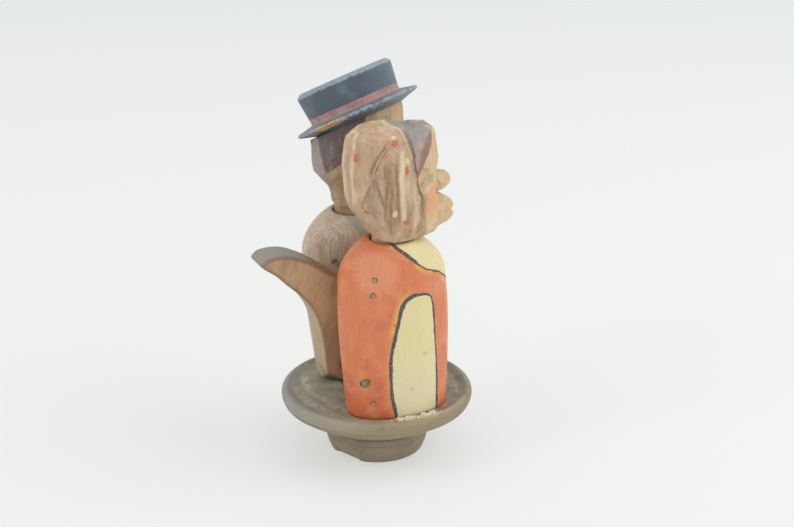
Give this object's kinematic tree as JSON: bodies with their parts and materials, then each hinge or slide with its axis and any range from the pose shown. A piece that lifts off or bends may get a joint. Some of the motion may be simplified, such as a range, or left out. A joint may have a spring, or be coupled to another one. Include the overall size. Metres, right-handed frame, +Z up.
{
  "type": "wooden automaton",
  "caption": "Carved and painted wooden couple standing in a turned dish; pressing the rear lever's horn turns both heads toward each other until the lips meet.",
  "frame": {"origin": "centre of the foot's flat underside", "axes": "+Z up; +X the way both faces look at rest, with the lever's horn to -X; +Y from the woman to the man"},
  "size_m": [0.0519, 0.0484, 0.092],
  "materials": {
    "stained_dish": "dark stain worn through on the rim",
    "orange_dress": "hand-painted, satin, aged",
    "brown_coat": "thin brown paint, satin",
    "woman_head_paint": "carved, hand-painted",
    "man_head_paint": "carved, hand-painted",
    "hat_paint": "turned, hand-painted",
    "lever_wood": "stained, worn",
    "dowel_wood": "plain turned wood",
    "nail_steel": "dull"
  },
  "bodies": {
    "base": {"base_dish": "stained_dish", "woman_body": "orange_dress", "man_body": "brown_coat", "woman_base_dowel": "dowel_wood", "man_base_dowel": "dowel_wood", "woman_foot_brad": "nail_steel", "man_foot_brad": "nail_steel", "woman_neck_nail": "nail_steel", "man_neck_nail": "nail_steel", "lever_pivot_nail": "nail_steel", "lever_stop_nail": "nail_steel"},
    "lever": {"lever": "lever_wood"},
    "woman_head": {"woman_head": "woman_head_paint", "woman_neck_peg": "dowel_wood", "woman_crank_pin": "nail_steel"},
    "man_head": {"man_head": "man_head_paint", "man_neck_peg": "dowel_wood", "man_crank_pin": "nail_steel", "man_hat": "hat_paint", "hat_dowel": "dowel_wood"}
  },
  "joints": [
    {"name": "lever_press", "type": "hinge", "parent": "base", "child": "lever", "pos_m": [-0.0093, 0, 0.0239], "axis": [0, -1, 0], "range_deg": [0, 13.6]},
    {"name": "woman_head_turn", "type": "hinge", "parent": "base", "child": "woman_head", "pos_m": [-0.0012, -0.01115, 0.0577], "axis": [0, 0, 1], "range_deg": [0, 42]},
    {"name": "man_head_turn", "type": "hinge", "parent": "base", "child": "man_head", "pos_m": [-0.0012, 0.01115, 0.0577], "axis": [0, 0, -1], "range_deg": [0, 42]}
  ],
  "couplings": [
    {"joint": "woman_head_turn", "follows": "lever_press", "ratio": 3.088},
    {"joint": "man_head_turn", "follows": "lever_press", "ratio": 3.088}
  ]
}
